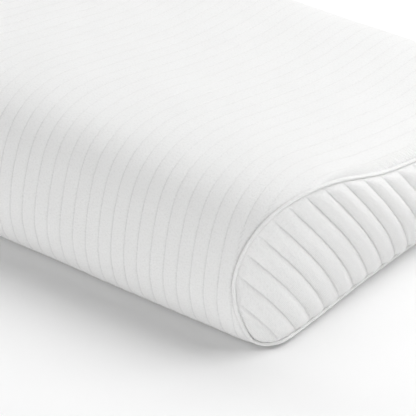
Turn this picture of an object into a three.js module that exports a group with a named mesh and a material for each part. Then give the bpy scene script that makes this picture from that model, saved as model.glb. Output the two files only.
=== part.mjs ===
// A contoured neck pillow: a filled body with ribbed knit drawn over it lengthwise,
// a diagonally quilted panel on each end, and a round piping cord in each end seam.
// Millimetres. X runs along the pillow, Y from its high front to its low back, Z up.
// The origin is on the resting surface, under the middle of the pillow.
import * as THREE from 'three';

// Main sizes
const SEAM_REACH = 288.3;
const DEPTH = 365;
const RIB_PITCH = 12.7;
const RIB_DEPTH = 0.8;
const RIB_FADE_FROM = 0.5;
const RIB_FADE_TO = 6;
const CORD_RADIUS = 1.7;
const CORD_PROUD = 0.5;
const CORD_CLEARANCE = 1.15;
const CORD_SIDES = 8;
const CORD_STEPS_PER_SPAN = 2;
const LIP_WIDTH = 3;
const LIP_DEPTH = 0.8;

// End panel sizes
const CHANNEL_PITCH = 14.5;
const CHANNEL_SHIFT = 7.9;
const CHANNEL_TILT = THREE.MathUtils.degToRad(35);
const CHANNEL_PUFF = 2.4;
const PANEL_BULGE = 11.5;
const FULL_BULGE_CHORD = 90;
const PANEL_THICKNESS = 5;
const PANEL_EDGE = 2.2;
const PANEL_SEAT_GAP = 0.9;
const PANEL_STOPS = 6;
const SWELL_POWER = 0.9;
const PUFF_RISE = 4;

// Fineness of the geometry
const NUDGE = 0.02;
const WELD = 0.0001;
const CHAIN_STEPS_PER_SPAN = 8;
const SHARP_TURN = THREE.MathUtils.degToRad(11);

// The cross-section, from under the front edge up the front, over the top, down the back and
// along the underside. y is measured back from the front face and z up from the surface.
// drawIn: how far the end seam is drawn in there from its full reach.
// dip: how far the panel sinks towards the seam, and over what length it does so.
const SECTION = [
  { y: 33, z: 0, drawIn: 13.5, dip: 6.5, over: 20 },
  { y: 20, z: 1, drawIn: 21.5, dip: 4, over: 18 },
  { y: 12, z: 6, drawIn: 28.5, dip: 3, over: 16 },
  { y: 6, z: 14.5, drawIn: 30.5, dip: 3, over: 16 },
  { y: 2.5, z: 25, drawIn: 32.5, dip: 2.5, over: 18 },
  { y: 0, z: 42, drawIn: 36, dip: 1, over: 20 },
  { y: 2, z: 61.5, drawIn: 39, dip: 1, over: 24 },
  { y: 7, z: 82, drawIn: 36, dip: 1, over: 30 },
  { y: 15, z: 101, drawIn: 29, dip: 1, over: 40 },
  { y: 26, z: 114, drawIn: 21.5, dip: 1, over: 55 },
  { y: 42.5, z: 123, drawIn: 13.5, dip: 1, over: 75 },
  { y: 62.5, z: 127, drawIn: 6, dip: 1.5, over: 90 },
  { y: 84, z: 127, drawIn: 2, dip: 4, over: 100 },
  { y: 108, z: 124, drawIn: 0, dip: 8, over: 105 },
  { y: 136, z: 119, drawIn: 0, dip: 12, over: 105 },
  { y: 166, z: 113.5, drawIn: 0, dip: 13, over: 105 },
  { y: 196, z: 108.5, drawIn: 0, dip: 13, over: 105 },
  { y: 226, z: 104, drawIn: 1, dip: 12, over: 105 },
  { y: 255, z: 101.5, drawIn: 2, dip: 10.5, over: 105 },
  { y: 285, z: 101, drawIn: 4, dip: 7.5, over: 100 },
  { y: 312, z: 102, drawIn: 8, dip: 5, over: 85 },
  { y: 335, z: 101, drawIn: 14, dip: 2.5, over: 60 },
  { y: 352.5, z: 95, drawIn: 20.5, dip: 1.5, over: 40 },
  { y: 362, z: 80.5, drawIn: 26, dip: 1, over: 28 },
  { y: 365, z: 60, drawIn: 28, dip: 1, over: 24 },
  { y: 364.5, z: 42, drawIn: 26.5, dip: 1, over: 20 },
  { y: 363, z: 27, drawIn: 22, dip: 1, over: 18 },
  { y: 360, z: 17, drawIn: 19.5, dip: 1, over: 16 },
  { y: 354, z: 8.5, drawIn: 16, dip: 3, over: 16 },
  { y: 345, z: 2, drawIn: 14.5, dip: 6, over: 18 },
  { y: 332, z: 0, drawIn: 13, dip: 7.5, over: 20 },
  { y: 290, z: 0, drawIn: 11.5, dip: 8.5, over: 20 },
  { y: 230, z: 0, drawIn: 11, dip: 9.5, over: 20 },
  { y: 175, z: 0, drawIn: 11, dip: 10.5, over: 20 },
  { y: 120, z: 0, drawIn: 11, dip: 10.5, over: 20 },
  { y: 70, z: 0, drawIn: 11.5, dip: 8.5, over: 20 },
];
const SPANS = SECTION.length;

const { clamp, lerp, smoothstep } = THREE.MathUtils;

// A number of rows brought back into one turn round the section
const wrap = (u) => ((u % SPANS) + SPANS) % SPANS;

// A place on the section: u counts rows of the table and may lie between two of them.
function along(u, column) {
  const row = Math.floor(u);
  const f = u - row;
  const value = (i) => SECTION[wrap(row + i)][column];
  const [a, b, c, d] = [value(-1), value(0), value(1), value(2)];
  const slope = c - a;
  const bend = 2 * a - 5 * b + 4 * c - d;
  const twist = 3 * b - a - 3 * c + d;
  return (2 * b + slope * f + bend * f * f + twist * f * f * f) / 2;
}

const sectionPoint = (u) => new THREE.Vector2(along(u, 'y'), Math.max(0, along(u, 'z')));

function sectionFrame(u) {
  const ahead = sectionPoint(u + NUDGE);
  const travel = ahead.sub(sectionPoint(u - NUDGE)).divideScalar(2 * NUDGE);
  const speed = travel.length();
  const outward = new THREE.Vector2(-travel.y, travel.x).divideScalar(speed);
  return { speed, outward };
}

const seamX = (u) => SEAM_REACH - Math.max(0, along(u, 'drawIn'));

// The section point sunk inward by a depth, as a point in space
function sunkPoint(u, x, depth) {
  const { outward } = sectionFrame(u);
  const p = sectionPoint(u).addScaledVector(outward, -depth);
  return new THREE.Vector3(x, p.x - DEPTH / 2, p.y);
}

// How far the body's skin lies inside the plain section, at a place along the pillow
function skinDepth(u, x) {
  const over = along(u, 'over');
  const near = clamp(1 - (seamX(u) - Math.abs(x)) / over, 0, 1);
  return along(u, 'dip') * near * near;
}

// Ribs fade out where the pillow rests
const ribFade = (u) => smoothstep(along(u, 'z'), RIB_FADE_FROM, RIB_FADE_TO);

// Collects welded vertices and triangles. With side -1 it mirrors them to the other end.
class Skin {
  constructor(side = 1) {
    this.side = side;
    this.points = [];
    this.faces = [];
    this.known = new Map();
  }

  vertex(point) {
    const placed = [point.x * this.side, point.y, point.z];
    const key = placed.map((value) => Math.round(value / WELD)).join(' ');
    if (!this.known.has(key)) {
      this.known.set(key, this.points.length);
      this.points.push(placed);
    }
    return this.known.get(key);
  }

  triangle(a, b, c) {
    const face = (this.side > 0 ? [a, b, c] : [a, c, b]).map((point) => this.vertex(point));
    const whole = face[0] !== face[1] && face[1] !== face[2] && face[2] !== face[0];
    if (whole) this.faces.push(face);
  }

  quad(a, b, c, d) {
    this.triangle(a, b, c);
    this.triangle(a, c, d);
  }

  geometry() {
    const geometry = new THREE.BufferGeometry();
    geometry.setAttribute('position', new THREE.Float32BufferAttribute(this.points.flat(), 3));
    geometry.setIndex(this.faces.flat());
    geometry.computeVertexNormals();
    return geometry;
  }
}

// Rows round the section: one for each span, two where it turns sharply
function rowPlaces() {
  const places = [];
  for (let row = 0; row < SPANS; row += 1) {
    const turn = sectionFrame(row).outward.angleTo(sectionFrame(row + 1).outward);
    places.push(row);
    if (turn > SHARP_TURN) places.push(row + 0.5);
  }
  return places;
}

// Where the body's skin stops beside the cord: the seam moved back over the skin
function skinEdge(u) {
  const { speed } = sectionFrame(u);
  const rise = (seamX(u + NUDGE) - seamX(u - NUDGE)) / (2 * NUDGE * speed);
  const room = CORD_RADIUS + CORD_CLEARANCE;
  const length = Math.hypot(1, rise);
  return { u: u + (room * rise) / length / speed, x: seamX(u) - room / length };
}

// A row of the body's skin. Stations count half pitches from the middle: a rib line lies at each
// odd one, and those past the seam fall on the rim.
function bodyRow(edge) {
  const shoulder = edge.x - LIP_WIDTH;
  const rimDepth = skinDepth(edge.u, edge.x) + LIP_DEPTH;
  const steps = Math.floor((shoulder - LIP_WIDTH / 2) / (RIB_PITCH / 2));
  return (station) => {
    const count = Math.abs(station);
    const side = Math.sign(station);
    if (count > steps + 1) return sunkPoint(edge.u, side * edge.x, rimDepth);
    if (count > steps) return sunkPoint(edge.u, side * shoulder, skinDepth(edge.u, shoulder));
    const x = (station * RIB_PITCH) / 2;
    const groove = station % 2 === 0 ? 0 : RIB_DEPTH * ribFade(edge.u);
    return sunkPoint(edge.u, x, skinDepth(edge.u, x) + groove);
  };
}

// The end panel's outline seen along X, its two chains run from the low front corner to the
// high back one: over the top, and along the underside.
function panelChains(inset) {
  const samples = [];
  for (let i = 0; i < SPANS * CHAIN_STEPS_PER_SPAN; i += 1) {
    const u = i / CHAIN_STEPS_PER_SPAN;
    const p = sunkPoint(u, 0, along(u, 'dip') + inset);
    const across = p.y * Math.cos(CHANNEL_TILT) + p.z * Math.sin(CHANNEL_TILT);
    samples.push({ u, y: p.y, z: p.z, across });
  }
  const reaches = samples.map((sample) => sample.across);
  const low = Math.min(...reaches);
  const high = Math.max(...reaches);
  const last = reaches.indexOf(high);
  const count = samples.length;
  const walk = (step) => {
    const chain = [];
    for (let i = reaches.indexOf(low); i !== last; i = (i + step + count) % count) {
      chain.push(samples[i]);
    }
    return [...chain, samples[last]];
  };
  return { over: walk(1), under: walk(-1), low, high };
}

// The point of a chain at one distance across the channels
function crossing(chain, across) {
  const past = chain.findIndex((sample) => sample.across >= across);
  const b = chain[past < 1 ? chain.length - 1 : past];
  const a = chain[chain.indexOf(b) - 1];
  const f = clamp((across - a.across) / (b.across - a.across), 0, 1);
  const turns = Math.round((a.u - b.u) / SPANS);
  return {
    u: wrap(lerp(a.u, b.u + turns * SPANS, f)),
    y: lerp(a.y, b.y, f),
    z: lerp(a.z, b.z, f),
  };
}

// The channel lines: each groove and each crest, and closer lines at both blunt ends
function channelPlaces(low, high) {
  const blunt = [0.6, 2.5, 5.5];
  const margin = 7.5;
  const half = CHANNEL_PITCH / 2;
  const places = [];
  const first = Math.ceil((low + margin - CHANNEL_SHIFT) / half);
  for (let i = first; CHANNEL_SHIFT + i * half < high - margin; i += 1) {
    places.push({ across: CHANNEL_SHIFT + i * half, crest: Math.abs(i % 2) });
  }
  const front = blunt.map((room) => ({ across: low + room, crest: 0 }));
  const back = blunt.map((room) => ({ across: high - room, crest: 0 })).reverse();
  return [...front, ...places, ...back];
}

// The end panel as lines of points along its channels, each with its outer, inner and seat points
function panelLines() {
  const seam = panelChains(0);
  const edge = panelChains(CORD_RADIUS + CORD_CLEARANCE);
  return channelPlaces(edge.low, edge.high).map(({ across, crest }) => {
    const seamTop = crossing(seam.over, across);
    const seamFoot = crossing(seam.under, across);
    const top = crossing(edge.over, across);
    const foot = crossing(edge.under, across);
    const chord = Math.hypot(seamFoot.y - seamTop.y, seamFoot.z - seamTop.z);
    const bulge = PANEL_BULGE * Math.min(1, chord / FULL_BULGE_CHORD);
    const points = [];
    for (let i = 0; i < PANEL_STOPS; i += 1) {
      const f = (1 - Math.cos((Math.PI * i) / (PANEL_STOPS - 1))) / 2;
      const y = lerp(top.y, foot.y, f);
      const z = lerp(top.z, foot.z, f);
      const part = Math.hypot(y - seamTop.y, z - seamTop.z) / chord;
      const swell = Math.sin(Math.PI * part) ** SWELL_POWER;
      const base = lerp(seamX(seamTop.u), seamX(seamFoot.u), part) + bulge * swell;
      const inner = base - lerp(PANEL_EDGE, PANEL_THICKNESS, swell);
      const puff = CHANNEL_PUFF * crest * Math.min(1, (PUFF_RISE * bulge * swell) / PANEL_BULGE);
      points.push({
        outer: new THREE.Vector3(base + puff, y, z),
        inner: new THREE.Vector3(inner, y, z),
        seat: new THREE.Vector3(inner - PANEL_SEAT_GAP, y, z),
      });
    }
    return { points, topU: top.u, footU: foot.u };
  });
}

// A sheet over the panel's lines, facing out of its end, or turned to face into it
function panelSheet(skin, lines, layer, turned = false) {
  for (let i = 0; i + 1 < lines.length; i += 1) {
    for (let j = 0; j + 1 < lines[i].points.length; j += 1) {
      const corner = (line, stop) => lines[line].points[stop][layer];
      const corners = [corner(i, j), corner(i, j + 1), corner(i + 1, j + 1), corner(i + 1, j)];
      skin.quad(...(turned ? corners.reverse() : corners));
    }
  }
}

// The panel's rim as one loop in the order of the section
function panelRim(lines) {
  const first = lines[0];
  const last = lines[lines.length - 1];
  const end = first.points.length - 1;
  const over = lines.map((line) => ({ u: line.topU, ...line.points[0] }));
  const under = lines.map((line) => ({ u: line.footU, ...line.points[end] })).reverse();
  const between = (points, from, to) => points.map((point, i) => {
    const u = wrap(from + (wrap(to - from) * (i + 1)) / end);
    return { u, ...point };
  });
  const backEnd = between(last.points.slice(1, end), last.topU, last.footU);
  const frontEnd = between(first.points.slice(1, end).reverse(), first.footU, first.topU);
  return [...over, ...backEnd, ...under, ...frontEnd];
}

// A strip between two loops round the section, each point with its u
function stitch(skin, outer, inner) {
  const ahead = (u) => wrap(u - outer[0].u);
  const turned = [...inner].sort((a, b) => ahead(a.u) - ahead(b.u));
  let i = 0;
  let j = 0;
  const at = (loop, k) => loop[k % loop.length].point;
  const progress = (loop, k) => (k < loop.length ? ahead(loop[k].u) : SPANS);
  while (i < outer.length || j < turned.length) {
    const outerNext = i < outer.length ? progress(outer, i + 1) : Infinity;
    const innerNext = j < turned.length ? progress(turned, j + 1) : Infinity;
    if (outerNext <= innerNext) {
      skin.triangle(at(outer, i), at(turned, j), at(outer, i + 1));
      i += 1;
    } else {
      skin.triangle(at(outer, i), at(turned, j), at(turned, j + 1));
      j += 1;
    }
  }
}

// The filled body: ribbed skin between the seams, and at each end a seat for the panel
function pillowBody(lines) {
  const edges = rowPlaces().map(skinEdge);
  const rows = edges.map(bodyRow);
  const reach = Math.ceil(SEAM_REACH / (RIB_PITCH / 2)) + 2;
  const skin = new Skin();
  for (let i = 0; i < rows.length; i += 1) {
    const here = rows[i];
    const next = rows[(i + 1) % rows.length];
    for (let station = -reach; station < reach; station += 1) {
      skin.quad(here(station), here(station + 1), next(station + 1), next(station));
    }
  }
  const rim = panelRim(lines).map(({ u, seat }) => ({ u, point: seat }));
  const edge = edges.map(({ u }, i) => ({ u: wrap(u), point: rows[i](reach) }));
  for (const side of [1, -1]) {
    skin.side = side;
    stitch(skin, edge, rim);
    panelSheet(skin, lines, 'seat');
  }
  return skin.geometry();
}

// A quilted panel: its outer and inner sheets and the edge between them
function endPanel(lines, side) {
  const skin = new Skin(side);
  panelSheet(skin, lines, 'outer');
  panelSheet(skin, lines, 'inner', true);
  const rim = panelRim(lines);
  rim.forEach((here, i) => {
    const next = rim[(i + 1) % rim.length];
    skin.quad(here.outer, next.outer, next.inner, here.inner);
  });
  return skin.geometry();
}

// A round cord that closes on itself along an end seam
function piping(side) {
  const centre = (u) => sunkPoint(u, seamX(u), along(u, 'dip') - CORD_PROUD);
  const ringAt = (u) => {
    const travel = centre(u + NUDGE).sub(centre(u - NUDGE)).normalize();
    const { outward } = sectionFrame(u);
    const across = travel.clone().cross(new THREE.Vector3(0, outward.x, outward.y)).normalize();
    const proud = across.clone().cross(travel);
    return Array.from({ length: CORD_SIDES }, (_, k) => {
      const angle = (2 * Math.PI * k) / CORD_SIDES;
      return centre(u)
        .addScaledVector(across, CORD_RADIUS * Math.cos(angle))
        .addScaledVector(proud, CORD_RADIUS * Math.sin(angle));
    });
  };
  const count = SPANS * CORD_STEPS_PER_SPAN;
  const rings = Array.from({ length: count }, (_, i) => ringAt(i / CORD_STEPS_PER_SPAN));
  const skin = new Skin(side);
  rings.forEach((ring, i) => {
    const next = rings[(i + 1) % count];
    ring.forEach((point, k) => {
      const beside = (k + 1) % CORD_SIDES;
      skin.quad(point, next[k], next[beside], ring[beside]);
    });
  });
  return skin.geometry();
}

const knit = (color) => new THREE.MeshStandardMaterial({ color, roughness: 0.92, metalness: 0 });

function piece(name, geometry, color) {
  const mesh = new THREE.Mesh(geometry, knit(color));
  mesh.name = name;
  return mesh;
}

const lines = panelLines();
const pillow = new THREE.Group();
pillow.add(piece('pillow_body', pillowBody(lines), 0xf4f4f3));
for (const [name, side] of [['right', 1], ['left', -1]]) {
  pillow.add(piece(`end_panel_${name}`, endPanel(lines, side), 0xf1f1f0));
  pillow.add(piece(`piping_${name}`, piping(side), 0xf6f6f5));
}

export default pillow;
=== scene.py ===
# A contoured neck pillow: a filled body in ribbed white knit, a diagonally quilted panel on each
# end and a round piping cord in each end seam. Shapes are worked out in millimetres and become
# metres in mesh_piece(). X runs along the pillow, Y from its high front to its low back, Z up.
import math

import bmesh
import bpy
import numpy as np
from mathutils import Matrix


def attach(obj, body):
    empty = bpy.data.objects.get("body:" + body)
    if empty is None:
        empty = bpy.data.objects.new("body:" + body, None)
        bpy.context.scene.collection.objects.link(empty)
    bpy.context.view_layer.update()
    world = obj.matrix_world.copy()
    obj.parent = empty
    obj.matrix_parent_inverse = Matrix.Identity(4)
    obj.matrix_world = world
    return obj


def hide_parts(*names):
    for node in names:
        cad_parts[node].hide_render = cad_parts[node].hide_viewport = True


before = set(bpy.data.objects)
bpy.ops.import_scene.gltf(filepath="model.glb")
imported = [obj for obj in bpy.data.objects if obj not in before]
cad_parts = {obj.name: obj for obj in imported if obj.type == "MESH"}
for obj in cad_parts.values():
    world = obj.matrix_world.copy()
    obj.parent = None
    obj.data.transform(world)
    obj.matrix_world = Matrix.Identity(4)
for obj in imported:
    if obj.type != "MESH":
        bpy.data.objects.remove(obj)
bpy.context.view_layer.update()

METRES = 0.001
WELD = 1e-7
SLIVER = 1e-8
TINY = 1e-9

# Main sizes
SEAM_REACH = 288.3
DEPTH = 365
RIB_PITCH = 12.7

# The cross-section, from under the front edge up the front, over the top, down the back and
# along the underside. y is measured back from the front face and z up from the surface.
# drawn_in: how far the end seam is drawn in there from its full reach.
# dip: how far the panel sinks towards the seam, and over what length it does so.
COLUMNS = ("y", "z", "drawn_in", "dip", "over")
SECTION = np.array([
    (33, 0, 13.5, 6.5, 20),
    (20, 1, 21.5, 4, 18),
    (12, 6, 28.5, 3, 16),
    (6, 14.5, 30.5, 3, 16),
    (2.5, 25, 32.5, 2.5, 18),
    (0, 42, 36, 1, 20),
    (2, 61.5, 39, 1, 24),
    (7, 82, 36, 1, 30),
    (15, 101, 29, 1, 40),
    (26, 114, 21.5, 1, 55),
    (42.5, 123, 13.5, 1, 75),
    (62.5, 127, 6, 1.5, 90),
    (84, 127, 2, 4, 100),
    (108, 124, 0, 8, 105),
    (136, 119, 0, 12, 105),
    (166, 113.5, 0, 13, 105),
    (196, 108.5, 0, 13, 105),
    (226, 104, 1, 12, 105),
    (255, 101.5, 2, 10.5, 105),
    (285, 101, 4, 7.5, 100),
    (312, 102, 8, 5, 85),
    (335, 101, 14, 2.5, 60),
    (352.5, 95, 20.5, 1.5, 40),
    (362, 80.5, 26, 1, 28),
    (365, 60, 28, 1, 24),
    (364.5, 42, 26.5, 1, 20),
    (363, 27, 22, 1, 18),
    (360, 17, 19.5, 1, 16),
    (354, 8.5, 16, 3, 16),
    (345, 2, 14.5, 6, 18),
    (332, 0, 13, 7.5, 20),
    (290, 0, 11.5, 8.5, 20),
    (230, 0, 11, 9.5, 20),
    (175, 0, 11, 10.5, 20),
    (120, 0, 11, 10.5, 20),
    (70, 0, 11.5, 8.5, 20),
], float)
SPANS = len(SECTION)
NUDGE = 0.02
STEPS_PER_SPAN = 60
EDGE_STEPS_PER_SPAN = 40
OUTLINE_STEPS_PER_SPAN = 24

# The ribbed cover
ROW_SPACING = 4.3
RIB_OFFSETS = (-4.9, -3.0, -1.6, -0.7, 0, 0.7, 1.6, 3.0)
RIB_CROWN = 0.25
RIB_CROWN_POWER = 0.8
RIB_LINE_DEPTH = 0.35
RIB_LINE_WIDTH = 0.8
RIB_FADE = (0.5, 6)
RIB_EDGE_FADE = 3
COVER_EDGE_ROOM = 1.2
COVER_TUCK = 2.2
COVER_TUCK_WIDTH = 0.9
COVER_SHOULDER = 10
COVER_SHOULDER_STEPS = 18
COVER_SHOULDER_CROWDING = 1.2
UNEVEN_DEPTH = 0.35
UNEVEN_LENGTH = 90
UNEVEN_ROOM = 60
UNEVEN_SEED = 11
WAVE_LENGTHS = (0.7, 1.5)

# Painted shade: how much darker the colour is made along the rib lines, beside the seam and in
# the hollow beside the cord. The lines, in their painted shade and their depth, are fainter on
# top, where the outward direction's height lies between the two values.
RIB_SHADE = 0.72
RIB_SHADE_WIDTH = 0.55
RIB_TOP_SHARE = 0.45
FACING_UP = (0.75, 1)
SEAM_SHADE = 1.5
SEAM_SHADE_REACH = 2
HOLLOW_SHADE = 2

# Beside the cord the cover rolls down where the top falls into its hollow, and is gathered
# behind that. START and END are distances back from the front face, in which each comes and goes.
TOP_HEIGHT = 52
HOLLOW_DEPTH = 4
HOLLOW_REACH = 20
HOLLOW_SHARPNESS = 1.2
HOLLOW_START = 64
HOLLOW_WIDENS = 70
HOLLOW_NARROWEST = 0.0001
HOLLOW_END = (90, 160)
GATHER_START = (118, 150)
GATHER_END = (290, 330)
GATHER_REACH = 12

# The body is closed behind each end panel by rings of points, each a share of the rim's size
BACKING_RINGS = (0.94, 0.85, 0.72, 0.56, 0.38, 0.2, 0.02)
BACKING_GAP = 3.5

# The quilted end panels
CHANNEL_PITCH = 14.5
CHANNEL_SHIFT = 7.9
CHANNEL_TILT = math.radians(35)
CHANNEL_FAN = math.radians(0.062)
CHANNEL_FAN_RANGE = (math.radians(-9), math.radians(4))
CHANNEL_FAN_CENTRE = -84
FULL_FAN_CHORD = 60
CHANNEL_STEPS = (0, 0.06, 0.15, 0.27, 0.42, 0.58, 0.73, 0.85, 0.94)
CHANNEL_PUFF = 3.1
CHANNEL_ROUNDNESS = 0.95
CHANNEL_PUFF_RISE = 3
CHANNEL_LINE_WIDTH = 0.5
FULL_PUFF_SWELL = 0.25
PANEL_BULGE = 11.5
FULL_BULGE_CHORD = 90
LEAST_CHORD = 0.01
SWELL_POWER = 0.9
PANEL_STOPS = 44
PANEL_EDGE_ROOM = 1
PANEL_TUCK = 0.5
PANEL_TUCK_WIDTH = 1.4
PANEL_THICKNESS = 4
END_RISE = 5
END_ROOM = 0.3
BLUNT_ENDS = (0.25, 1, 2.5, 5)

# The padding of the panels: cloth under pressure, held along its rim and its channel lines
SEWN_LINE = 0.05
SEWN_RIM = 2.5
PUFF_FRAMES = 12
PUFF_PRESSURE = 15000
PUFF_EXTRA_CLOTH = 0.015
PUFF_CAP = 1.3

# The piping cords
CORD_RADIUS = 1.45
CORD_PROUD = 0.5
CORD_SIDES = 14
CORD_STEP = 2.2
CORD_TWIST_PITCH = 9
CORD_TWIST_DEPTH = 0.07

# The knit: its loops, its fuzz, its mottled whiteness and its stitches and gathers. A scale
# counts features to the metre, and a share is of the height of one loop.
WHITE = (0.86, 0.86, 0.855)
CORD_WHITE = (0.85, 0.85, 0.845)
LOOP_DRIFT = 3
LOOP_DRIFT_SCALE = 240
LOOP_LEAN = 1.2
LOOP_DEPTH = 0.12
LOOP_SHARE = 0.7
FUZZ_SCALE = 620
FUZZ_DETAIL = 3
FUZZ_ROUGHNESS = 0.75
FUZZ_SHARE = 2.6
SHADE_BY_HEIGHT = 0.15
SHADE_AT_FOOT = 0.74
MOTTLE_SCALE = 26
MOTTLE_DARKEST = 0.99
NOISE_MIDDLE = (0.3, 0.7)
STITCH_DASH = (0.1, 0.25)
STITCH_GAP_SHARE = 0.8
GATHER_SWAY = 9
GATHER_SWAY_SCALE = 120
GATHER_RELIEF = 1.8
CLOTH_ROUGHNESS = (0.86, 0.96)
CLOTH_SPECULAR = 0.25
CLOTH_SHEEN = 0.12
CLOTH_SHEEN_ROUGHNESS = 0.45

# The camera, set so that its picture lines up with the photograph
CAMERA_LENS = 207.45
CAMERA_SENSOR = 36
CAMERA_CLIP_END = 50
CAMERA_AZIMUTH = math.radians(37.823)
CAMERA_ELEVATION = math.radians(30.684)
CAMERA_TARGET = np.array((169.77, -108.57, 61.69))
CAMERA_DISTANCE = 1836.4

# Softboxes: where they hang as azimuth and elevation in degrees, their width and height in
# metres, and their power
LIGHT_DISTANCE = 2.4
SOFTBOXES = {
    "low_front": (0, 7, 1.8, 0.5, 12),
    "low_corner": (45, 7, 1.8, 0.5, 7.5),
    "right_top": (120, 50, 1.6, 1.6, 34),
    "back_right": (150, 40, 1.6, 1.6, 7),
    "back_top": (180, 60, 1.6, 1.6, 16),
    "front_right": (45, 40, 1.6, 1.6, 6),
    "left_back": (240, 40, 1.6, 1.6, 19),
    "back": (180, 30, 1.6, 1.6, 4.5),
    "front_left": (315, 20, 1.6, 1, 15),
    "right": (90, 25, 1.6, 1, 3),
}
WORLD_STRENGTH = 0.01
FLOOR_REACH = 6
FLOOR_COLOUR = (0.9, 0.9, 0.9, 1)
FLOOR_ROUGHNESS = 0.8


def along(u, column):
    """A column of the section at a place: u counts rows and may lie between two of them."""
    u = np.asarray(u, float)
    row = np.floor(u).astype(int)
    f = u - row
    values = SECTION[:, COLUMNS.index(column)]
    a, b, c, d = (values[(row + i) % SPANS] for i in (-1, 0, 1, 2))
    slope = c - a
    bend = 2 * a - 5 * b + 4 * c - d
    twist = 3 * b - a - 3 * c + d
    return (2 * b + slope * f + bend * f**2 + twist * f**3) / 2


def section_point(u):
    return np.stack([along(u, "y") - DEPTH / 2, np.maximum(0, along(u, "z"))], -1)


def section_frame(u):
    """How fast the section runs at u, and its outward direction there."""
    travel = (section_point(u + NUDGE) - section_point(u - NUDGE)) / (2 * NUDGE)
    speed = np.linalg.norm(travel, axis=-1)
    outward = np.stack([-travel[..., 1], travel[..., 0]], -1) / speed[..., None]
    return speed, outward


def seam_x(u):
    return SEAM_REACH - np.maximum(0, along(u, "drawn_in"))


def sunk_point(u, x, depth):
    """The section point sunk inward by a depth, as a point in space."""
    _, outward = section_frame(u)
    p = section_point(u) - outward * np.asarray(depth)[..., None]
    x = np.broadcast_to(x, p.shape[:-1])
    return np.stack([x, p[..., 0], p[..., 1]], -1)


def skin_depth(u, x):
    """How far the cover lies inside the plain section near its ends."""
    near = np.clip(1 - (seam_x(u) - np.abs(x)) / along(u, "over"), 0, 1)
    return along(u, "dip") * near**2


def smoothstep(value, low, high):
    t = np.clip((value - low) / (high - low), 0, 1)
    return t * t * (3 - 2 * t)


def bell(distance, width):
    """One at no distance, falling smoothly to nothing a few widths away."""
    return np.exp(-((distance / width) ** 2))


def even_places(spacing):
    """Places round the section an even distance apart, with the distance walked to each."""
    u = np.linspace(0, SPANS, SPANS * STEPS_PER_SPAN + 1)
    p = section_point(u)
    walked = np.concatenate([[0], np.cumsum(np.linalg.norm(np.diff(p, axis=0), axis=1))])
    count = round(walked[-1] / spacing)
    arc = np.arange(count) * walked[-1] / count
    return np.interp(arc, walked, u), arc


def seam_offset(u, room):
    """Where the cover stops at places u, if it keeps this room from the seam line."""
    fine = np.linspace(0, SPANS, SPANS * EDGE_STEPS_PER_SPAN, endpoint=False)
    speed, _ = section_frame(fine)
    rise = (seam_x(fine + NUDGE) - seam_x(fine - NUDGE)) / (2 * NUDGE * speed)
    length = np.hypot(1, rise)
    moved = fine + room * rise / length / speed
    return np.interp(u, moved, seam_x(fine) - room / length, period=SPANS)


def waves(a, b, seed, scale, count=7):
    """Smooth unevenness from a few sine waves in set random directions, from about -1 to 1."""
    draw = np.random.RandomState(seed)
    total = 0
    for _ in range(count):
        angle, phase = draw.uniform(0, 2 * math.pi, 2)
        pace = 2 * math.pi / (scale * draw.uniform(*WAVE_LENGTHS))
        total = total + np.sin((a * math.cos(angle) + b * math.sin(angle)) * pace + phase)
    return total / math.sqrt(count)


def mesh_piece(name, points, faces, attributes=None, merge=True):
    """A mesh object from points in millimetres, with smooth faces and values on its points."""
    mesh = bpy.data.meshes.new(name)
    mesh.from_pydata((np.asarray(points) * METRES).tolist(), [], faces)
    for key, values in (attributes or {}).items():
        values = np.asarray(values, float)
        if values.ndim == 1:
            layer = mesh.attributes.new(key, "FLOAT", "POINT")
            layer.data.foreach_set("value", values)
        else:
            layer = mesh.attributes.new(key, "FLOAT_VECTOR", "POINT")
            layer.data.foreach_set("vector", values.ravel())
    if merge:
        cleaner = bmesh.new()
        cleaner.from_mesh(mesh)
        bmesh.ops.remove_doubles(cleaner, verts=cleaner.verts, dist=WELD)
        bmesh.ops.dissolve_degenerate(cleaner, edges=cleaner.edges, dist=SLIVER)
        bmesh.ops.recalc_face_normals(cleaner, faces=cleaner.faces)
        cleaner.to_mesh(mesh)
        cleaner.free()
    mesh.shade_smooth()
    piece = bpy.data.objects.new(name, mesh)
    bpy.context.scene.collection.objects.link(piece)
    return piece


def grid_faces(rows, columns, closed=False):
    """Quads over a grid of points numbered row by row."""
    last = rows if closed else rows - 1
    faces = []
    for i in range(last):
        here, after = i * columns, (i + 1) % rows * columns
        for j in range(columns - 1):
            faces.append((here + j, here + j + 1, after + j + 1, after + j))
    return faces


# The end panel's surface
def channel_axes(tilt=CHANNEL_TILT):
    """The directions across the channels and up along them, in the plane of the end."""
    c, s = np.cos(tilt), np.sin(tilt)
    return np.stack([c, s], -1), np.stack([-s, c], -1)


def panel_outline(inset):
    """Points round the panel, this far inside its seam, in the plane of the end."""
    u = np.linspace(0, SPANS, SPANS * OUTLINE_STEPS_PER_SPAN, endpoint=False)
    return u, sunk_point(u, 0, along(u, "dip") + inset)[:, 1:]


def panel_chains():
    """The seam over and under the panel, each as place across, height along and x."""
    u, outline = panel_outline(0)
    across_axis, up_axis = channel_axes()
    across, up = outline @ across_axis, outline @ up_axis
    low, high = int(np.argmin(across)), int(np.argmax(across))
    count = len(u)
    chains = []
    for step in (1, -1):
        walk = (low + step * np.arange((step * (high - low)) % count + 1)) % count
        rising = np.maximum.accumulate(across[walk])
        chains.append((rising, up[walk], seam_x(u[walk])))
    return chains


OVER, UNDER = panel_chains()


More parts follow.
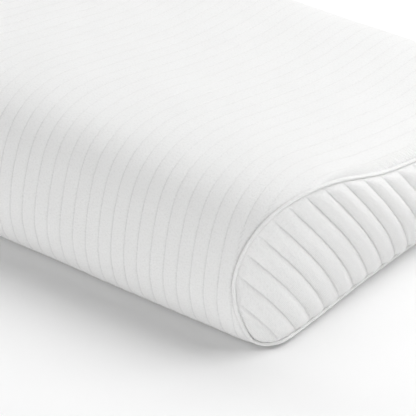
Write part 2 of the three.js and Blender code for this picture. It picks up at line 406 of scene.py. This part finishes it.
def panel_dome(p):
    """The panel's smooth outer surface: x and the share of its full swell at points (y, z)."""
    across_axis, up_axis = channel_axes()
    across, up = p @ across_axis, p @ up_axis
    top, foot = np.interp(across, OVER[0], OVER[1]), np.interp(across, UNDER[0], UNDER[1])
    top_x, foot_x = np.interp(across, OVER[0], OVER[2]), np.interp(across, UNDER[0], UNDER[2])
    chord = np.maximum(top - foot, LEAST_CHORD)
    part = np.clip((top - up) / chord, 0, 1)
    swell = np.sin(math.pi * part) ** SWELL_POWER * np.minimum(1, chord / FULL_BULGE_CHORD)
    return top_x + (foot_x - top_x) * part + PANEL_BULGE * swell, swell


def channel_places():
    """Places across the panel for its lines, and how far each lies through its channel."""
    low, high = OVER[0][0] + PANEL_EDGE_ROOM, OVER[0][-1] - PANEL_EDGE_ROOM
    margin = BLUNT_ENDS[-1] + 1
    first = math.floor((low - CHANNEL_SHIFT) / CHANNEL_PITCH)
    last = math.ceil((high - CHANNEL_SHIFT) / CHANNEL_PITCH)
    places = []
    for channel in range(first, last + 1):
        for step in CHANNEL_STEPS:
            places.append(CHANNEL_SHIFT + (channel + step) * CHANNEL_PITCH)
    places = [place for place in places if low + margin < place < high - margin]
    ends = [low + room for room in BLUNT_ENDS], [high - room for room in reversed(BLUNT_ENDS)]
    places = np.array([*ends[0], *places, *ends[1]])
    return places, np.mod((places - CHANNEL_SHIFT) / CHANNEL_PITCH, 1)


def channel_line(place, outline):
    """The two ends, top and foot, of the line at one place across the panel."""
    top, foot = np.interp(place, OVER[0], OVER[1]), np.interp(place, UNDER[0], UNDER[1])
    across_axis, up_axis = channel_axes()
    middle = across_axis * place + up_axis * (top + foot) / 2
    fan = np.clip(CHANNEL_FAN * (place - CHANNEL_FAN_CENTRE), *CHANNEL_FAN_RANGE)
    fan = fan * min(1, (top - foot) / FULL_FAN_CHORD)
    side_axis, line_axis = channel_axes(CHANNEL_TILT + fan)
    side = (outline - middle) @ side_axis
    after = np.roll(side, -1)
    cut = np.flatnonzero(side * after < 0)
    share = side[cut] / (side[cut] - after[cut])
    step = np.roll(outline, -1, axis=0)[cut] - outline[cut]
    crossings = outline[cut] + step * share[:, None]
    order = np.argsort((crossings - middle) @ line_axis)
    return crossings[order[-1]], crossings[order[0]]


def panel_grid():
    """The quilted sheet as lines of points along its channels."""
    _, outline = panel_outline(PANEL_EDGE_ROOM)
    places, through = channel_places()
    ends = [channel_line(place, outline) for place in places]
    even = np.linspace(0, 1, PANEL_STOPS)
    share = (even + (1 - np.cos(math.pi * even)) / 2) / 2
    top = np.array([end[0] for end in ends])[:, None]
    foot = np.array([end[1] for end in ends])[:, None]
    flat = top + (foot - top) * share[None, :, None]
    dome, swell = panel_dome(flat)
    from_end = np.minimum(places - places[0], places[-1] - places)[:, None]
    dome = dome - PANEL_BULGE * swell * np.exp(-from_end / END_RISE)
    length = np.linalg.norm(foot - top, axis=-1)
    from_rim = np.minimum(share, 1 - share)[None] * length
    from_rim = np.minimum(from_rim, from_end + END_ROOM)
    tuck = PANEL_TUCK * np.exp(-from_rim / PANEL_TUCK_WIDTH)
    puff = CHANNEL_PUFF * np.sin(math.pi * through[:, None]) ** CHANNEL_ROUNDNESS
    puff = puff * np.minimum(1, swell / FULL_PUFF_SWELL)
    puff = puff * (1 - np.exp(-from_rim / CHANNEL_PUFF_RISE))
    groove = np.minimum(through, 1 - through) * CHANNEL_PITCH
    return {
        "flat": flat,
        "outer": dome - tuck + puff,
        "inner": dome - PANEL_THICKNESS - tuck,
        "groove": np.broadcast_to(groove[:, None], dome.shape),
        "from_rim": from_rim,
        "walked": share[None] * length,
        "places": places,
    }


# The end panels
def held_points(grid):
    """The sewn points of the sheet: its rim and its channel lines."""
    sewn = (grid["groove"] < SEWN_LINE) | (grid["from_rim"] < SEWN_RIM)
    sewn[:len(BLUNT_ENDS)] = True
    sewn[-len(BLUNT_ENDS):] = True
    return sewn


def blown_up(points, faces, held):
    """Where the points of a sheet go when cloth is blown up between its held points."""
    sheet = mesh_piece("quilt_before_padding", points, faces, merge=False)
    sewn = sheet.vertex_groups.new(name="sewn")
    sewn.add([int(i) for i in np.flatnonzero(held)], 1, "REPLACE")
    cloth = sheet.modifiers.new("padding", "CLOTH")
    settings = cloth.settings
    settings.quality = 5
    settings.mass = 0.2
    settings.tension_stiffness = 12
    settings.compression_stiffness = 12
    settings.shear_stiffness = 6
    settings.bending_stiffness = 0.2
    settings.vertex_group_mass = "sewn"
    settings.shrink_min = -PUFF_EXTRA_CLOTH
    settings.use_pressure = True
    settings.uniform_pressure_force = PUFF_PRESSURE
    settings.effector_weights.gravity = 0
    cloth.point_cache.frame_start = 1
    cloth.point_cache.frame_end = PUFF_FRAMES
    scene = bpy.context.scene
    for step in range(1, PUFF_FRAMES + 1):
        scene.frame_set(step)
    puffed = sheet.evaluated_get(bpy.context.evaluated_depsgraph_get())
    moved = np.zeros(len(points) * 3)
    puffed.data.vertices.foreach_get("co", moved)
    bpy.data.objects.remove(sheet)
    scene.frame_set(1)
    travel = moved.reshape(-1, 3) / METRES - points
    length = np.linalg.norm(travel, axis=1, keepdims=True)
    travel = travel * PUFF_CAP * np.tanh(length / PUFF_CAP) / np.maximum(length, TINY)
    return points + travel


def rim_places(rows, columns):
    """The numbers of the points round a grid's edge, in order."""
    rim = list(range(columns))
    rim += [i * columns + columns - 1 for i in range(1, rows)]
    rim += [(rows - 1) * columns + j for j in range(columns - 2, -1, -1)]
    rim += [i * columns for i in range(rows - 2, 0, -1)]
    return rim


def end_panel(side, grid, outer):
    """A padded quilt: the puffed sheet, a plain back and the edge between them."""
    rows, columns = grid["groove"].shape
    size = rows * columns
    inner = np.concatenate([grid["inner"][..., None], grid["flat"]], -1)
    points = np.concatenate([outer.reshape(-1, 3), inner.reshape(-1, 3)])
    points = points * (side, 1, 1)
    front = grid_faces(rows, columns)
    back = [tuple(i + size for i in reversed(face)) for face in front]
    rim = rim_places(rows, columns)
    edge = []
    for here, after in zip(rim, rim[1:] + rim[:1]):
        edge.append((after, here, here + size, after + size))
    across = np.broadcast_to(grid["places"][:, None], grid["groove"].shape)
    cloth = np.stack([across, grid["walked"], across * 0], -1).reshape(-1, 3) * METRES
    attributes = {
        "cloth": np.tile(cloth, (2, 1)),
        # painted shade along the quilting's channel lines, where the grooves sink
        "painted_shade": np.tile(bell(grid["groove"].ravel(), CHANNEL_LINE_WIDTH), 2),
    }
    name = "end_quilt_right" if side > 0 else "end_quilt_left"
    return mesh_piece(name, points, front + back + edge, attributes)


# The filled body
def rib_columns():
    """Places along the pillow for the cover's columns: closer together beside each rib line."""
    count = math.ceil(SEAM_REACH / RIB_PITCH)
    lines = (np.arange(-count, count) + 0.5) * RIB_PITCH
    return np.sort((lines[:, None] + np.array(RIB_OFFSETS)).ravel())


def rib_relief(x):
    """Depth of the skin between two rib crowns, and the distance to the nearest rib line."""
    line = np.abs(np.mod(x, RIB_PITCH) - RIB_PITCH / 2)
    crown = RIB_CROWN * (1 - np.sin(math.pi * line / RIB_PITCH) ** RIB_CROWN_POWER)
    return crown + RIB_LINE_DEPTH * bell(line, RIB_LINE_WIDTH), line


def cover_places():
    """The cover's points: place, distance walked, x and room to the cover's edge."""
    u, arc = even_places(ROW_SPACING)
    edge = seam_offset(u, COVER_EDGE_ROOM)[:, None]
    steps = np.linspace(1, 0, COVER_SHOULDER_STEPS)
    shoulders = COVER_SHOULDER * steps**COVER_SHOULDER_CROWDING
    inner = edge - COVER_SHOULDER
    ribs = np.clip(rib_columns()[None], -inner, inner)
    x = np.concatenate([-(edge - shoulders[::-1]), ribs, edge - shoulders], 1)
    u, arc = np.broadcast_to(u[:, None], x.shape), np.broadcast_to(arc[:, None], x.shape)
    return u, arc, x, edge - np.abs(x)


def hollow_and_gather(u, room):
    """How far the cover has rolled down beside the cord, and how strongly it is gathered."""
    y, on_top = along(u, "y"), along(u, "z") > TOP_HEIGHT
    widening = np.clip((y - HOLLOW_START) / HOLLOW_WIDENS, HOLLOW_NARROWEST, 1)
    reach = HOLLOW_REACH * np.sqrt(widening)
    fall = np.clip(1 - room / reach, 0, 1) ** HOLLOW_SHARPNESS
    fall = fall * on_top * (1 - smoothstep(y, *HOLLOW_END))
    gather = on_top * smoothstep(y, *GATHER_START) * (1 - smoothstep(y, *GATHER_END))
    return fall, gather * bell(room, GATHER_REACH)


def cover_skin():
    """The cover's points in space, with the values that its material reads there."""
    u, arc, x, room = cover_places()
    relief, line = rib_relief(x)
    high = smoothstep(along(u, "z"), *RIB_FADE)
    _, outward = section_frame(u)
    strength = 1 - (1 - RIB_TOP_SHARE) * smoothstep(outward[..., 1], *FACING_UP)
    keep = high * strength * (1 - np.exp(-np.maximum(room, 0) / RIB_EDGE_FADE))
    tuck = COVER_TUCK * np.exp(-room / COVER_TUCK_WIDTH)
    fall, gather = hollow_and_gather(u, room)
    uneven = UNEVEN_DEPTH * waves(x, arc, UNEVEN_SEED, UNEVEN_LENGTH)
    uneven = uneven * high * smoothstep(room, 0, UNEVEN_ROOM)
    depth = skin_depth(u, x) + relief * keep + tuck + HOLLOW_DEPTH * fall + uneven
    # Painted shade in the colour along the rib lines, beside the seam and in the hollow by the
    # cord
    painted_shade = RIB_SHADE * bell(line, RIB_SHADE_WIDTH) * high * strength
    painted_shade = np.maximum(painted_shade, SEAM_SHADE * bell(room, SEAM_SHADE_REACH))
    painted_shade = np.maximum(painted_shade, HOLLOW_SHADE * fall)
    cloth = np.stack([x, arc, 0 * x], -1)
    return sunk_point(u, x, depth), cloth, painted_shade, gather


def pillow_cover():
    """The filled body: the ribbed cover from seam to seam, closed behind the end panels."""
    skin, skin_cloth, painted_shade, gather = cover_skin()
    rows, columns = painted_shade.shape
    points = [skin.reshape(-1, 3)]
    cloth = [skin_cloth.reshape(-1, 3)]
    faces = grid_faces(rows, columns, closed=True)
    start = rows * columns
    for side, column in ((1, columns - 1), (-1, 0)):
        rim = skin[:, column, 1:]
        centre = rim.mean(0)
        before = [i * columns + column for i in range(rows)]
        for ring in BACKING_RINGS:
            flat = centre + (rim - centre) * ring
            dome, _ = panel_dome(flat)
            wall = side * (dome - PANEL_THICKNESS - BACKING_GAP)
            points.append(np.column_stack([wall, flat]))
            cloth.append(np.column_stack([flat, 0 * wall]))
            here = list(range(start, start + rows))
            for i in range(rows):
                j = (i + 1) % rows
                faces.append((before[i], before[j], here[j], here[i])[::side])
            before = here
            start += rows
        faces.append(tuple(before)[::side])
    backing = start - rows * columns
    attributes = {
        "cloth": np.concatenate(cloth) * METRES,
        # painted shade along the rib lines, beside the seam and in the hollow; none on the backing
        "painted_shade": np.pad(painted_shade.ravel(), (0, backing)),
        "gather": np.pad(gather.ravel(), (0, backing)),
    }
    return mesh_piece("pillow_cover", np.concatenate(points), faces, attributes)


# The piping
def cord_centre(u):
    return sunk_point(u, seam_x(u), along(u, "dip") - CORD_PROUD)


def piping_cord(side):
    """A round covered cord that closes on itself along an end seam."""
    u, arc = even_places(CORD_STEP)
    travel = cord_centre(u + NUDGE) - cord_centre(u - NUDGE)
    travel /= np.linalg.norm(travel, axis=1, keepdims=True)
    _, outward = section_frame(u)
    outward = np.column_stack([0 * u, outward])
    across = np.cross(travel, outward)
    across /= np.linalg.norm(across, axis=1, keepdims=True)
    proud = np.cross(across, travel)
    angle = 2 * math.pi * np.arange(CORD_SIDES) / CORD_SIDES
    turn = angle[None] + 2 * math.pi * arc[:, None] / CORD_TWIST_PITCH
    radius = CORD_RADIUS + CORD_TWIST_DEPTH * np.cos(2 * turn)
    points = cord_centre(u)[:, None] + across[:, None] * (radius * np.cos(angle))[..., None]
    points = points + proud[:, None] * (radius * np.sin(angle))[..., None]
    points = points * (side, 1, 1)
    faces = []
    for i in range(len(u)):
        here, after = i * CORD_SIDES, (i + 1) % len(u) * CORD_SIDES
        for k in range(CORD_SIDES):
            beside = (k + 1) % CORD_SIDES
            faces.append((here + k, after + k, after + beside, here + beside)[::side])
    girth = np.broadcast_to(angle * CORD_RADIUS, turn.shape)
    walked = np.broadcast_to(arc[:, None], turn.shape)
    cloth = np.stack([girth, walked, 0 * girth], -1).reshape(-1, 3) * METRES
    name = "piping_cord_right" if side > 0 else "piping_cord_left"
    return mesh_piece(name, points.reshape(-1, 3), faces, {"cloth": cloth})


# Materials
class Graph:
    """Short calls for building a material's nodes."""

    def __init__(self, name):
        self.material = bpy.data.materials.new(name)
        self.material.use_nodes = True
        self.nodes = self.material.node_tree.nodes
        self.links = self.material.node_tree.links
        self.shader = self.nodes["Principled BSDF"]

    def node(self, kind, **settings):
        made = self.nodes.new(kind)
        for key, value in settings.items():
            setattr(made, key, value)
        return made

    def put(self, socket, value):
        if isinstance(value, bpy.types.NodeSocket):
            self.links.new(value, socket)
        else:
            socket.default_value = value

    def math(self, operation, *values):
        made = self.node("ShaderNodeMath", operation=operation)
        for socket, value in zip(made.inputs, values):
            self.put(socket, value)
        return made.outputs[0]

    def attribute(self, name, output):
        return self.node("ShaderNodeAttribute", attribute_name=name).outputs[output]

    def noise(self, vector, scale, detail=2, roughness=0.6):
        made = self.node("ShaderNodeTexNoise")
        self.put(made.inputs["Vector"], vector)
        made.inputs["Scale"].default_value = scale
        made.inputs["Detail"].default_value = detail
        made.inputs["Roughness"].default_value = roughness
        return made.outputs["Fac"]

    def ramp(self, value, low, high, low_out, high_out):
        made = self.node("ShaderNodeMapRange", interpolation_type="SMOOTHSTEP")
        limits = {"From Min": low, "From Max": high, "To Min": low_out, "To Max": high_out}
        for key, number in limits.items():
            made.inputs[key].default_value = number
        self.put(made.inputs["Value"], value)
        return made.outputs["Result"]


def knit_height(graph, cloth, parts, wale, course):
    """Rows of knitted loops: two leaning legs in each wale, repeated course by course."""
    across = graph.math("DIVIDE", parts["X"], wale * METRES)
    up = graph.math("DIVIDE", parts["Y"], course * METRES)
    drift = graph.math("MULTIPLY", graph.noise(cloth, LOOP_DRIFT_SCALE), LOOP_DRIFT)
    up = graph.math("ADD", up, drift)
    in_wale = graph.math("PINGPONG", across, 0.5)
    leg = graph.math("SINE", graph.math("MULTIPLY", in_wale, 2 * math.pi))
    lean = graph.math("ADD", up, graph.math("MULTIPLY", in_wale, LOOP_LEAN))
    loop = graph.math("SINE", graph.math("MULTIPLY", lean, 2 * math.pi))
    loop = graph.math("ADD", graph.math("MULTIPLY", loop, LOOP_DEPTH), 1 - LOOP_DEPTH)
    return graph.math("MULTIPLY", graph.math("MULTIPLY", leg, loop), LOOP_SHARE)


def crease_shade(graph, parts, painted_shade, stitch):
    """The share of light kept where shade is painted along sewn lines and beside seams, dashed by
    stitches if it has any.
    """
    dark = graph.math("MULTIPLY", graph.attribute("painted_shade", "Fac"), painted_shade)
    if stitch:
        walked = graph.math("DIVIDE", parts["Y"], stitch * METRES)
        dash = graph.math("PINGPONG", walked, 0.5)
        dark = graph.math("MULTIPLY", dark, graph.ramp(dash, *STITCH_DASH, STITCH_GAP_SHARE, 1))
    return graph.math("SUBTRACT", 1, dark)


def gather_height(graph, cloth, parts, pitch, height):
    """Small folds across the seam, added to a height where the cloth is gathered."""
    pace = graph.math("MULTIPLY", parts["Y"], 2 * math.pi / (pitch * METRES))
    sway = graph.math("MULTIPLY", graph.noise(cloth, GATHER_SWAY_SCALE), GATHER_SWAY)
    fold = graph.math("SINE", graph.math("ADD", pace, sway))
    fold = graph.math("MULTIPLY", fold, graph.attribute("gather", "Fac"))
    return graph.math("MULTIPLY_ADD", fold, GATHER_RELIEF, height)


def knit(name, tone, wale, course, relief, painted_shade=0.0, stitch=0.0, gather=0.0):
    """White knit with loops and fuzz, from the size of its loops and the depth of its relief.

    How much painted shade darkens its sewn lines and the cloth beside its seams comes after the
    relief;
    the lines have stitches of one length, and gather is the pitch of its folds beside a seam.
    """
    graph = Graph(name)
    cloth = graph.attribute("cloth", "Vector")
    split = graph.node("ShaderNodeSeparateXYZ")
    graph.put(split.inputs[0], cloth)
    parts = split.outputs
    fuzz = graph.noise(cloth, FUZZ_SCALE, FUZZ_DETAIL, FUZZ_ROUGHNESS)
    height = knit_height(graph, cloth, parts, wale, course)
    height = graph.math("MULTIPLY_ADD", fuzz, FUZZ_SHARE, height)
    # Painted shade: the colour is darker where the knit's loops and fuzz lie low
    shade = graph.math("MULTIPLY_ADD", height, SHADE_BY_HEIGHT, SHADE_AT_FOOT)
    mottle = graph.ramp(graph.noise(cloth, MOTTLE_SCALE), *NOISE_MIDDLE, MOTTLE_DARKEST, 1)
    shade = graph.math("MULTIPLY", shade, mottle)
    if painted_shade:
        shade = graph.math("MULTIPLY", shade, crease_shade(graph, parts, painted_shade, stitch))
    if gather:
        height = gather_height(graph, cloth, parts, gather, height)
    colour = graph.node("ShaderNodeMix", data_type="RGBA")
    graph.put(colour.inputs["Factor"], shade)
    colour.inputs["A"].default_value = (0, 0, 0, 1)
    colour.inputs["B"].default_value = (*tone, 1)
    graph.links.new(colour.outputs["Result"], graph.shader.inputs["Base Color"])
    bump = graph.node("ShaderNodeBump")
    bump.inputs["Distance"].default_value = relief * METRES
    graph.put(bump.inputs["Height"], height)
    graph.links.new(bump.outputs["Normal"], graph.shader.inputs["Normal"])
    roughness = graph.ramp(fuzz, *NOISE_MIDDLE, *CLOTH_ROUGHNESS)
    graph.put(graph.shader.inputs["Roughness"], roughness)
    graph.shader.inputs["Specular IOR Level"].default_value = CLOTH_SPECULAR
    graph.shader.inputs["Sheen Weight"].default_value = CLOTH_SHEEN
    graph.shader.inputs["Sheen Roughness"].default_value = CLOTH_SHEEN_ROUGHNESS
    return graph.material


def dress(piece, material, node):
    """Gives a piece its material and its place in the frame."""
    piece.data.materials.append(material)
    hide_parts(node)
    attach(piece, "root")


# Floor, light and camera
def floor():
    """A plain pale floor."""
    ends = ((-1, -1), (1, -1), (1, 1), (-1, 1))
    corners = np.array([(x * FLOOR_REACH, y * FLOOR_REACH, 0) for x, y in ends])
    plain = mesh_piece("floor", corners / METRES, [(0, 1, 2, 3)], merge=False)
    graph = Graph("pale_floor")
    graph.shader.inputs["Base Color"].default_value = FLOOR_COLOUR
    graph.shader.inputs["Roughness"].default_value = FLOOR_ROUGHNESS
    plain.data.materials.append(graph.material)


def direction(azimuth, elevation):
    """The direction out to something that hangs round the pillow, from azimuth 0 at the front."""
    flat = math.cos(elevation)
    return np.array((math.sin(azimuth) * flat, -math.cos(azimuth) * flat, math.sin(elevation)))


def softbox(name, azimuth, elevation, width, height, power):
    """A soft light that hangs round the pillow and faces it."""
    azimuth, elevation = math.radians(azimuth), math.radians(elevation)
    light = bpy.data.lights.new(name, "AREA")
    light.shape = "RECTANGLE"
    light.energy = power
    light.size = width
    light.size_y = height
    lamp = bpy.data.objects.new(name, light)
    lamp.location = direction(azimuth, elevation) * LIGHT_DISTANCE
    lamp.rotation_euler = (math.pi / 2 - elevation, 0, azimuth)
    bpy.context.scene.collection.objects.link(lamp)


def camera():
    """The photograph's view."""
    lens = bpy.data.cameras.new("photo_view")
    lens.sensor_width = CAMERA_SENSOR
    lens.lens = CAMERA_LENS
    lens.clip_end = CAMERA_CLIP_END
    view = bpy.data.objects.new("photo_view", lens)
    back = direction(CAMERA_AZIMUTH, CAMERA_ELEVATION)
    view.location = (CAMERA_TARGET + back * CAMERA_DISTANCE) * METRES
    view.rotation_euler = (math.pi / 2 - CAMERA_ELEVATION, 0, CAMERA_AZIMUTH)
    bpy.context.scene.collection.objects.link(view)
    bpy.context.scene.camera = view


def surroundings():
    """A faint even light from all sides."""
    world = bpy.data.worlds.new("studio")
    world.use_nodes = True
    background = world.node_tree.nodes["Background"]
    background.inputs["Color"].default_value = (1, 1, 1, 1)
    background.inputs["Strength"].default_value = WORLD_STRENGTH
    bpy.context.scene.world = world
    bpy.context.scene.view_settings.view_transform = "Standard"


# The pillow
cover_knit = knit("ribbed_white_knit", WHITE, wale=1.8, course=2.3, relief=0.2,
                  painted_shade=0.2, stitch=2.6, gather=3.6)
quilt_knit = knit("quilted_white_knit", WHITE, wale=1.8, course=2.3, relief=0.22, painted_shade=0.04)
cord_knit = knit("piping_white_knit", CORD_WHITE, wale=0.9, course=0.8, relief=0.08)

cover = pillow_cover()
dress(cover, cover_knit, "pillow_body")

grid = panel_grid()
sheet = np.concatenate([grid["outer"][..., None], grid["flat"]], -1).reshape(-1, 3)
sheet = blown_up(sheet, grid_faces(*grid["groove"].shape), held_points(grid).ravel())
for side, name in ((1, "right"), (-1, "left")):
    quilt = end_panel(side, grid, sheet)
    dress(quilt, quilt_knit, f"end_panel_{name}")
    dress(piping_cord(side), cord_knit, f"piping_{name}")

floor()
for name, facts in SOFTBOXES.items():
    softbox(name, *facts)
camera()
surroundings()
